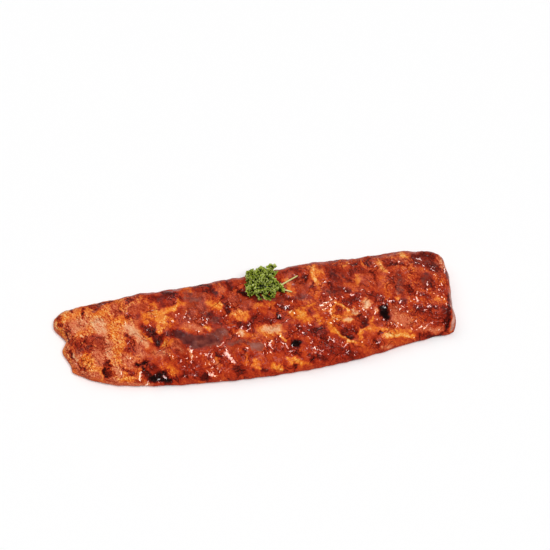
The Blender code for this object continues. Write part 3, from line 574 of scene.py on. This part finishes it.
# The glints as strokes, the small ones drawn shorter.
rng = np.random.default_rng(5)
scattered = np.stack(
    [
        rng.uniform(-150, 195, RANDOM_GLINTS),
        -50 + 100 * rng.uniform(0, 1, RANDOM_GLINTS) ** 1.2,
        rng.uniform(0.5, 3.0, RANDOM_GLINTS),
        rng.uniform(20, 130, RANDOM_GLINTS),
        rng.uniform(0.7, 1.0, RANDOM_GLINTS),
    ],
    -1,
)
at_x, at_y, length, degrees, half_width = np.concatenate([GLINTS, scattered]).T
large = eased(half_width, 1.3, 1.7)
length = length * (0.8 + 0.2 * large)
half_width = half_width * (0.75 + 0.05 * large)
reach_x = 0.5 * length * np.cos(np.radians(degrees))
reach_y = 0.5 * length * np.sin(np.radians(degrees))
ends = np.stack([at_x - reach_x, at_y - reach_y, at_x + reach_x, at_y + reach_y, half_width, 0 * at_x], -1)
facet = strokes(ends, smooth_x, smooth_y)[0]

# Both grids share the rim's points. The bone side takes up the nearest rim's marks and loses them inward.
rim = np.zeros(u.shape, bool)
rim[[0, -1], :] = True
rim[:, [0, -1]] = True
top_index = np.arange(u.size).reshape(u.shape)
under_index = np.where(rim, top_index, u.size - 1 + np.cumsum(~rim).reshape(u.shape))
points = np.concatenate([top.reshape(-1, 3), under[~rim]])
faces = np.concatenate([grid_faces(top_index), grid_faces(under_index)[:, ::-1]])

bone_brown = 0.66 + 0.14 * np.cos(2 * np.pi * rib_phase(under[..., 0], under[..., 1]))
bone_brown = bone_brown + 0.06 * rough(sheet_x, sheet_y, 8, 61)
to_sides = np.stack([u * LENGTH, (1 - u) * LENGTH, v * WIDTH, (1 - v) * WIDTH])
nearest = to_sides.argmin(0)
inward = eased(to_sides.min(0), 0.003, 0.013)
row, column = np.indices(u.shape)
row = np.where(nearest == 0, 0, np.where(nearest == 1, u.shape[0] - 1, row))
column = np.where(nearest == 2, 0, np.where(nearest == 3, u.shape[1] - 1, column))
above = {
    "browning": browning, "lean": lean, "thick_glaze": thick, "wet": wet, "knobbly": knobbly,
    "fibrous": fibrous, "facet": facet,
}
bone_side = {
    "browning": bone_brown, "lean": 0.6, "thick_glaze": 0, "wet": 0.2, "knobbly": 0,
    "fibrous": 0.5, "facet": 0,
}
below = {key: above[key][row, column] * (1 - inward) + bone_side[key] * inward for key in above}
marks = {key: np.concatenate([above[key].ravel(), below[key][~rim]]) for key in above}
rack = mesh_object("basted_rib_rack", points, faces, marks)

# Sticky baked glaze over browned pork: sugar and fat set to a clear, uneven film with meat grain under it. It
# gives deep red-brown to yellow colour by the browning, and small hard glints where it is wet. Painted into
# the colour are shade in the creases, highlights under the glints and, where the glaze is thick, a
# reflection.
BROWNED = [
    (0, "#140706"), (0.14, "#240A08"), (0.19, "#40100C"), (0.28, "#54140E"), (0.33, "#6E190C"),
    (0.41, "#862012"), (0.455, "#9A2815"), (0.53, "#A93118"), (0.575, "#B83C1A"), (0.66, "#C44A1E"),
    (0.7, "#D65E21"), (0.78, "#E06E20"), (0.82, "#E9802B"), (0.9, "#EF9238"), (0.93, "#F4AA52"),
    (1, "#F6C480"),
]
LEAN = [
    (0, "#2A0E0A"), (0.35, "#842414"), (0.5, "#AC3C1E"), (0.66, "#CE6240"), (0.8, "#E28A5C"), (1, "#EEB88C"),
]
# Glaze where it lies thick: dark, and its greyish mauve partly a painted reflection of the surroundings.
POOL_GLAZE_AND_REFLECTION = [
    (0, "#2C1010"), (0.3, "#582220"), (0.45, "#74342C"), (0.6, "#944A3A"), (0.9, "#B0766A"), (1, "#D09888"),
]
# Patterns in the glaze: the size of a patch and how far it is moved, in mm, the angle of its strands and
# their length in widths, detail, roughness, distortion, and a band (low, high) that keeps the peaks: 0 below
# low, 1 above high and smooth between.
PATTERNS = {
    "grain": (2.6, 0, -66, 2.2, 1.5, 0.6, 0.6, None),
    "pores": (0.9, 0, 0, 1, 2, 0.6, 0, None),
    "bright_strands": (1.4, 0, -75, 3.5, 0, 0.6, 0, (0.58, 0.72)),
    "slant_strands": (1.4, 35, -38, 3.5, 0, 0.6, 0, (0.60, 0.74)),
    "dark_strands": (1.5, 70, -60, 3.0, 0, 0.6, 0, (0.58, 0.74)),
    "specks": (1.8, 105, 0, 1, 0, 0.6, 0, (0.62, 0.74)),
    "pits": (1.3, 315, 0, 1, 0, 0.6, 0, (0.60, 0.72)),
    "flecks": (1.3, 350, 0, 1, 0, 0.6, 0, (0.62, 0.74)),
    "crease_lines": (11, 420, 0, 1, 1.5, 0.6, 0.6, None),
    "crease_patches": (14, 455, 0, 1, 0, 0.6, 0, (0.38, 0.62)),
    "facet_rims": (1.5, 210, 0, 1, 2, 0.7, 0, None),
    "sand": (1.2, 560, 0, 1, 1, 0.6, 0, None),
    "knobs": (3, 140, 0, 1, 0, 0.6, 1, (0.55, 0.80)),
    "fold_lines": (4.2, 245, 0, 1, 0, 0.6, 0.8, None),
    "pool_tone": (9, 280, 0, 1, 2, 0.6, 0, None),
    "pool_rims": (4, 175, 0, 1, 2, 0.6, 0, None),
}
DROP_PITCH = 2.1 * MM
DROP_JITTER = 1.6 * MM
LEANS_FORWARD = (0.015, -0.41, 0.912)
TEXTURE = {"vector_type": "TEXTURE"}
SMOOTH = {"interpolation_type": "SMOOTHSTEP"}
TIMES = {"operation": "MULTIPLY"}
TIMES_AND_PLUS = {"operation": "MULTIPLY_ADD"}
TO_AND_FRO = {"operation": "PINGPONG"}

glaze, tree, shader = new_material("baked_glaze_on_pork")
place = add(tree, "TexCoord", out="Object")
read = {key: add(tree, "Attribute", {"attribute_name": key}, out="Fac") for key in marks}
pattern = {}
for name, (size_mm, shift_mm, degrees, times, detail, roughness, distortion, band) in PATTERNS.items():
    moved = add(
        tree, "Mapping", TEXTURE, Vector=place,
        Location=(shift_mm * MM, 0, 0), Rotation=(0, 0, math.radians(degrees)), Scale=(times, 1, 1),
    )
    pattern[name] = add(
        tree, "TexNoise", Vector=moved, Scale=1 / (size_mm * MM), Detail=detail, Roughness=roughness,
        Distortion=distortion,
    )
    if band:
        low, high = band
        pattern[name] = add(tree, "MapRange", SMOOTH, i0=pattern[name], i1=low, i2=high)


def total(*terms):
    """The sum of numbers, sockets and (socket, factor) pairs."""
    added = sum(term for term in terms if isinstance(term, (int, float)))
    for term in terms:
        if not isinstance(term, (int, float)):
            socket, factor = term if isinstance(term, tuple) else (term, 1.0)
            added = add(tree, "Math", TIMES_AND_PLUS, i0=socket, i1=factor, i2=added)
    return added


# Short strands and specks where the meat is fibrous, and a mottling by its grain.
strand_tone = total(
    (pattern["bright_strands"], 0.10), (pattern["slant_strands"], 0.09), (pattern["dark_strands"], -0.12),
    (pattern["specks"], -0.06), (pattern["pits"], -0.18), (pattern["flecks"], 0.13), 0.01,
)
strand_tone = add(tree, "Math", TIMES, i0=strand_tone, i1=read["fibrous"])
grained = total(0.10, (read["fibrous"], 0.11))
mottling = add(tree, "Math", TIMES, i0=total(pattern["grain"], -0.5), i1=grained)
sand_tone = add(tree, "Math", TIMES, i0=total(pattern["sand"], -0.5), i1=0.38)

# Creases along the turning lines of a noise, in patches and not where the glaze is thick. They sink the meat
# and the film, and they darken the colour as painted shade.
creases = add(tree, "Math", TO_AND_FRO, i0=pattern["crease_lines"], i1=0.5)
creases = add(tree, "MapRange", SMOOTH, i0=creases, i1=0.455, i2=0.497)
creases = add(tree, "Math", TIMES, i0=creases, i1=pattern["crease_patches"])
creases = add(tree, "Math", TIMES, i0=creases, i1=total(1.0, (read["thick_glaze"], -1.0)))

# Sparkles: round drops on a jittered lattice. The knobblier the film, the more of them are lit.
jitter = add(tree, "TexNoise", Vector=place, Scale=1 / DROP_JITTER, Detail=0.0, out="Color")
lattice = add(
    tree, "Mapping", TEXTURE, Vector=place,
    Location=(490 * MM, 0, 0), Rotation=(0, 0, math.radians(-62)), Scale=(1.8, 1, 1),
)
jittered = add(tree, "VectorMath", TIMES_AND_PLUS, i0=jitter, i1=[DROP_JITTER] * 3, i2=lattice)
drops = add(tree, "TexVoronoi", Vector=jittered, Scale=1 / DROP_PITCH).node
lucky = add(tree, "SeparateColor", Color=drops.outputs["Color"]).node
lit = total(lucky.outputs[0], (read["knobbly"], 0.9))
lit = add(tree, "MapRange", SMOOTH, i0=lit, i1=1.27, i2=1.30)
sparkles = drops.outputs["Distance"]
sparkles = add(tree, "MapRange", SMOOTH, i0=sparkles, i1=0.40, i2=0.29)
sparkles = add(tree, "Math", TIMES, i0=sparkles, i1=lit)
sparkles = add(tree, "Math", TIMES, i0=sparkles, i1=total((lucky.outputs[1], 0.8), 0.45))
facets = total(read["facet"], (pattern["facet_rims"], 2.0), -1.0)
facets = add(tree, "MapRange", SMOOTH, i0=facets, i1=0.50, i2=0.85)
facets = add(tree, "Math", {"operation": "MINIMUM"}, i0=total(facets, sparkles), i1=1.0)

# Beads and folds of dried glaze.
folds = add(tree, "Math", TO_AND_FRO, i0=pattern["fold_lines"], i1=0.5)
folds = add(tree, "MapRange", SMOOTH, i0=folds, i1=0.42, i2=0.50)
knob_tone = total((pattern["knobs"], 0.12), (folds, -0.14))
knob_tone = add(tree, "Math", TIMES, i0=knob_tone, i1=read["knobbly"])

# The colour: browned meat, towards lean meat where it shows, and calm dark glaze over both where it is thick,
# its greyish mauve partly a painted reflection. The creases darken it as painted shade, and the glints
# lighten it as a painted highlight, in the pools too.
tone = total(read["browning"], mottling, strand_tone, (creases, -0.13), sand_tone, knob_tone, (facets, 0.22))
browned = add(tree, "ValToRGB", stops=BROWNED, i0=tone)
lean_meat = add(tree, "ValToRGB", stops=LEAN, i0=tone)
meat = add(tree, "Mix", {"data_type": "RGBA"}, i0=read["lean"], out=2, i6=browned, i7=lean_meat)
calm = total(read["browning"], (pattern["pool_tone"], 0.8), -0.40, (facets, 0.3), (strand_tone, 0.8))
pool_glaze_and_reflection = add(tree, "ValToRGB", stops=POOL_GLAZE_AND_REFLECTION, i0=calm)
pool_edge = total(read["thick_glaze"], (pattern["pool_rims"], 1.2), -0.6)
pool_edge = add(tree, "MapRange", SMOOTH, i0=pool_edge, i1=0.25, i2=0.75)
colour = add(tree, "Mix", {"data_type": "RGBA"}, i0=pool_edge, out=2, i6=meat, i7=pool_glaze_and_reflection)
tree.links.new(colour, shader.inputs["Base Color"])
tree.links.new(total(0.52, (read["wet"], -0.36), (pattern["pores"], 0.16)), shader.inputs["Roughness"])
tree.links.new(total(0.04, (read["wet"], 0.5), (facets, 0.66)), shader.inputs["Coat Weight"])
shader.inputs["Coat Roughness"].default_value = 0.07
shader.inputs["Coat IOR"].default_value = 1.55
shader.inputs["Specular IOR Level"].default_value = 0.02

# The meat is bumpy under the film. The film has bumps of its own, and its glints lean towards the main light.
crease_bump = add(tree, "Bump", Height=creases, Strength=1.0, Distance=-0.8 * MM)
coarse_bump = add(tree, "Bump", Height=pattern["grain"], Strength=0.8, Distance=0.7 * MM, Normal=crease_bump)
fine_bump = add(tree, "Bump", Height=pattern["pores"], Strength=0.6, Distance=0.4 * MM, Normal=coarse_bump)
tree.links.new(fine_bump, shader.inputs["Normal"])
raised = total(pattern["knobs"], (folds, 0.6))
raised = add(tree, "Math", TIMES, i0=raised, i1=read["knobbly"])
raised = total(raised, (creases, -0.8))
film = add(tree, "Bump", Height=raised, Strength=1.0, Distance=0.5 * MM)
glinting = add(tree, "Mix", {"data_type": "VECTOR"}, i0=facets, out=1, i4=film, i5=LEANS_FORWARD)
glinting = add(tree, "VectorMath", {"operation": "NORMALIZE"}, i0=glinting)
tree.links.new(glinting, shader.inputs["Coat Normal"])
rack.data.materials.append(glaze)
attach(rack, "root")
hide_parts("rib_rack")

# The parsley
# A head of curly parsley and its two stalks. Each leaflet is a thin closed fan that ruffles towards its edge.
# They crowd out from the tufts of the solid, over a small core painted dark as shade, and the stalks are
# tapering tubes.

SPRIG = (0.013, 0.035)
SPRIG_TURN = math.radians(-9.7)
TUFTS = [
    (-0.014, 0, 0.004, 0.0072), (-0.0115, -0.009, 0.004, 0.0072), (-0.012, 0.009, 0.004, 0.007),
    (-0.003, -0.012, 0.004, 0.0074), (-0.003, 0.012, 0.0045, 0.007), (0.008, 0.014, 0.0065, 0.007),
    (0.006, -0.012, 0.004, 0.0074), (0.0135, -0.008, 0.004, 0.0076), (-0.009, 0, 0.01, 0.0078),
    (-0.004, -0.007, 0.01, 0.0074), (-0.003, 0.006, 0.011, 0.0074), (0.002, -0.001, 0.012, 0.0078),
    (0.0085, -0.005, 0.0095, 0.0076), (0.005, 0.007, 0.0085, 0.0068),
]
LEAFLETS_A_TUFT = 9
LEAF_REACHES = [0.1, 0.5, 0.75, 0.89, 1.0]
LEAF_ROWS = len(LEAF_REACHES)
LEAF_COLUMNS = 57
LEAF_SPREAD = math.radians(100)
LEAF_THICK = 0.0004
RUFFLE = 0.34
FINE_RUFFLE = 0.06
LOBES = 0.14
CUPPED = 0.25
CORE_SIZE = (0.0145, 0.0120, 0.0068)
STALKS = [
    [(0.004, -0.002, 0.0045), (0.015, -0.003, 0.0045), (0.025, 0.003, 0.004), (0.035, 0.01, 0.003)],
    [(0.005, -0.005, 0.0045), (0.019, -0.007, 0.004), (0.029, -0.009, 0.0025)],
]
STALK_RADIUS = 0.0010

near = np.hypot(top[..., 0] - SPRIG[0], top[..., 1] - SPRIG[1]).argmin()
bed = top.reshape(-1, 3)[near, 2]


def on_the_rack(points):
    """Points of the sprig, given from the middle of its head, turned and set down on the rack."""
    c, s = math.cos(SPRIG_TURN), math.sin(SPRIG_TURN)
    turn = np.array([[c, s, 0], [-s, c, 0], [0, 0, 1]])
    return points @ turn + np.array([*SPRIG, bed])


def shell_faces(rows, columns):
    """The quads of a closed thin sheet of rows by columns: both faces, and the strips that join the rims."""
    front = np.arange(rows * columns).reshape(rows, columns)
    back = front + rows * columns
    ring = np.concatenate([front[0, :], front[1:, -1], front[-1, -2::-1], front[-2:0:-1, 0]])
    after = np.roll(ring, -1)
    walls = np.stack([after, ring, ring + rows * columns, after + rows * columns], -1)
    return np.concatenate([grid_faces(front)[:, ::-1], grid_faces(back), walls[:, ::-1]])


rng = np.random.default_rng(7)
count = len(TUFTS) * LEAFLETS_A_TUFT
tuft = np.repeat(np.array(TUFTS), LEAFLETS_A_TUFT, axis=0)
turn = rng.uniform(0, 2 * np.pi, count)
rise = rng.uniform(-0.15, 1.0, count)
flat = np.sqrt(np.maximum(1 - rise**2, 0))
outward = np.stack([flat * np.cos(turn), flat * np.sin(turn), rise], -1)
size = tuft[:, 3] * rng.uniform(0.55, 0.80, count)
heel = tuft[:, :3] + outward * (tuft[:, 3] - size)[:, None] * 0.9
side = np.cross(outward, rng.normal(size=(count, 3)))
side = side / np.linalg.norm(side, axis=-1, keepdims=True)
face = np.cross(outward, side)

# A leaflet over its reach from the heel and its angle: waves that grow to the edge, with a scalloped rim.
reach, angle = np.meshgrid(LEAF_REACHES, np.linspace(-LEAF_SPREAD, LEAF_SPREAD, LEAF_COLUMNS), indexing="ij")
phase = rng.uniform(0, 2 * np.pi, count)[:, None, None]
waves = rng.uniform(5.0, 7.0, count)[:, None, None]
ruffle = RUFFLE * reach**1.4 * np.sin(waves * angle + phase)
ruffle = ruffle + FINE_RUFFLE * reach**2 * np.sin(2.3 * waves * angle)
lobed = reach * (1 + LOBES * np.cos(2 * waves * angle + phase))
local = np.stack([lobed * np.cos(angle), lobed * np.sin(angle), ruffle + CUPPED * reach**2], -1)
leaf = heel[:, None, None, :] + size[:, None, None, None] * np.einsum(
    "nrck,nkd->nrcd", local, np.stack([outward, side, face], 1)
)
over = leaf + 0.5 * LEAF_THICK * face[:, None, None, :]
beneath = leaf - 0.5 * LEAF_THICK * face[:, None, None, :]
points = np.stack([over, beneath], 1).reshape(-1, 3)
a_leaf = shell_faces(LEAF_ROWS, LEAF_COLUMNS)
faces = (a_leaf[None] + np.arange(count)[:, None, None] * 2 * LEAF_ROWS * LEAF_COLUMNS).reshape(-1, 4)
middle = tuft[:, None, None, :3]
out_of_tuft = np.linalg.norm(leaf - middle, axis=-1) / tuft[:, None, None, 3]
# Paler towards each leaflet's edge, partly its own colour and partly a painted highlight, and darker deeper
# in its tuft, as painted shade.
edge_light_and_depth_shade = (0.35 + 0.65 * eased(reach, 0.6, 1.0)) * eased(out_of_tuft, 0.5, 1.1)
edge_light_and_depth_shade = np.broadcast_to(edge_light_and_depth_shade[:, None], (count, 2, LEAF_ROWS, LEAF_COLUMNS))
tint = np.broadcast_to(rng.uniform(0, 1, count)[:, None, None, None], edge_light_and_depth_shade.shape)
leaves = mesh_object("curly_leaflets", on_the_rack(points), faces, {"edge_light_and_depth_shade": edge_light_and_depth_shade, "tint": tint})

# Fresh leaf: a waxy green skin with a soft sheen. Its colour is paler towards the thin curled edges, partly
# its own and partly a painted highlight, and darker deep in each tuft and on the core, as painted shade.
GREENS = [(0.0, "#161C02"), (0.25, "#465408"), (0.5, "#84961A"), (0.8, "#BECC4C"), (1.0, "#E2EA98")]
leaf_skin, tree, shader = new_material("fresh_parsley_leaf")
edge_light_and_depth_shade_at = add(tree, "Attribute", {"attribute_name": "edge_light_and_depth_shade"}, out="Fac")
tint_at = add(tree, "Attribute", {"attribute_name": "tint"}, out="Fac")
green = add(tree, "Math", TIMES_AND_PLUS, i0=tint_at, i1=0.3, i2=-0.15)
green = add(tree, "Math", {"operation": "ADD"}, i0=edge_light_and_depth_shade_at, i1=green)
greens = add(tree, "ValToRGB", stops=GREENS, i0=green)
tree.links.new(greens, shader.inputs["Base Color"])
shader.inputs["Roughness"].default_value = 0.5
shader.inputs["Specular IOR Level"].default_value = 0.25
leaves.data.materials.append(leaf_skin)
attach(leaves, "root")
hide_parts("parsley_sprig")

# The core: a ball in the darkest green, painted shade in the gaps between the leaflets.
theta, phi = np.meshgrid(np.linspace(0, np.pi, 25), np.linspace(0, 2 * np.pi, 49)[:-1], indexing="ij")
ball = np.stack([np.sin(theta) * np.cos(phi), np.sin(theta) * np.sin(phi), np.cos(theta)], -1)
ball = ball * np.array(CORE_SIZE) * 0.95 * (1 + 0.08 * bumps(phi, theta, 0.5, 71) * np.sin(theta))[..., None]
ball[..., 2] += CORE_SIZE[2] * 0.6
index = np.arange(theta.size).reshape(theta.shape)
index = np.concatenate([index, index[:, :1]], 1)
dark = {"edge_light_and_depth_shade": 0 * theta, "tint": 0 * theta}
core = mesh_object("sprig_shade_core", on_the_rack(ball.reshape(-1, 3)), grid_faces(index), dark)
core.data.materials.append(leaf_skin)
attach(core, "root")
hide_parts("parsley_sprig")


def tube(route, radii, sides=10, steps=28):
    """A tapering round tube along a smooth curve through its route, its end rings drawn in to a point."""
    route = np.array(route)
    at = np.linspace(0, len(route) - 1, steps)
    line = np.stack([through(list(zip(range(len(route)), route[:, k])), at) for k in range(3)], -1)
    run = np.gradient(line, axis=0)
    run = run / np.linalg.norm(run, axis=-1, keepdims=True)
    left = np.cross(run, (0, 0, 1))
    left = left / np.linalg.norm(left, axis=-1, keepdims=True)
    up = np.cross(left, run)
    round_ = np.linspace(0, 2 * np.pi, sides + 1)[:-1]
    radius = np.linspace(*radii, steps)
    radius[[0, -1]] = 0.00001
    ring = left[:, None] * np.cos(round_)[None, :, None] + up[:, None] * np.sin(round_)[None, :, None]
    index = np.arange(steps * sides).reshape(steps, sides)
    index = np.concatenate([index, index[:, :1]], 1)
    return (line[:, None] + radius[:, None, None] * ring).reshape(-1, 3), grid_faces(index)


stems = [tube(route, (STALK_RADIUS, 0.7 * STALK_RADIUS)) for route in STALKS]
starts = np.cumsum([0] + [len(points) for points, _ in stems[:-1]])
points = on_the_rack(np.concatenate([points for points, _ in stems]))
faces = np.concatenate([faces + start for (_, faces), start in zip(stems, starts)])
stalks = mesh_object("parsley_stalks", points, faces, {})

# Parsley stalk: pale and juicy, in patches of 4 mm, which gives a soft yellow-green gloss.
stalk_skin, tree, shader = new_material("parsley_stalk")
on_stalk = add(tree, "TexCoord", out="Object")
patches = add(tree, "TexNoise", Vector=on_stalk, Scale=1 / (4 * MM), Detail=2.0)
pales = add(tree, "ValToRGB", stops=[(0.3, "#BDBC66"), (0.7, "#E8DF9C")], i0=patches)
tree.links.new(pales, shader.inputs["Base Color"])
shader.inputs["Roughness"].default_value = 0.35
stalks.data.materials.append(stalk_skin)
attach(stalks, "root")
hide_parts("parsley_sprig")

# The studio
# A plain pale floor under an even white tent of light, two softboxes, made as wide sun lamps, and the camera.

FLOOR_REACH = 4
corners = FLOOR_REACH * np.array([[-1, -1, 0], [1, -1, 0], [1, 1, 0], [-1, 1, 0]])
floor = mesh_object("floor", corners, np.array([[0, 1, 2, 3]]), {})
paper, tree, shader = new_material("white_paper")
shader.inputs["Base Color"].default_value = linear("#FAFAFA")
shader.inputs["Roughness"].default_value = 0.9
floor.data.materials.append(paper)

TENT_STRENGTH = 0.14
world = bpy.data.worlds.new("tent")
world.use_nodes = True
world.node_tree.nodes["Background"].inputs["Color"].default_value = (1, 1, 1, 1)
world.node_tree.nodes["Background"].inputs["Strength"].default_value = TENT_STRENGTH
bpy.context.scene.world = world

# Each softbox: its name, the direction that it stands in, how many degrees wide it looks, and its power.
SOFTBOXES = [("over_the_camera", (0.12, -0.32, 0.94), 28, 2.50), ("left", (-0.34, 0.40, 0.85), 50, 0.58)]
for name, direction, degrees, power in SOFTBOXES:
    light = bpy.data.lights.new(name, "SUN")
    light.angle = math.radians(degrees)
    light.energy = power
    lamp = bpy.data.objects.new(name, light)
    lamp.rotation_euler = Vector(direction).to_track_quat("Z", "Y").to_euler()
    bpy.context.scene.collection.objects.link(lamp)

CAMERA_PLACE = (-0.09785, -0.68149, 1.29904)
CAMERA_AIM = (0.02851, 0.05779, 0.0)
LENS_MM = 94.4
SENSOR_MM = 36.0
lens = bpy.data.cameras.new("camera")
lens.lens = LENS_MM
lens.sensor_width = SENSOR_MM
camera = bpy.data.objects.new("camera", lens)
camera.location = CAMERA_PLACE
camera.rotation_euler = (Vector(CAMERA_AIM) - Vector(CAMERA_PLACE)).to_track_quat("-Z", "Y").to_euler()
bpy.context.scene.collection.objects.link(camera)
bpy.context.scene.camera = camera
bpy.context.scene.view_settings.view_transform = "Standard"
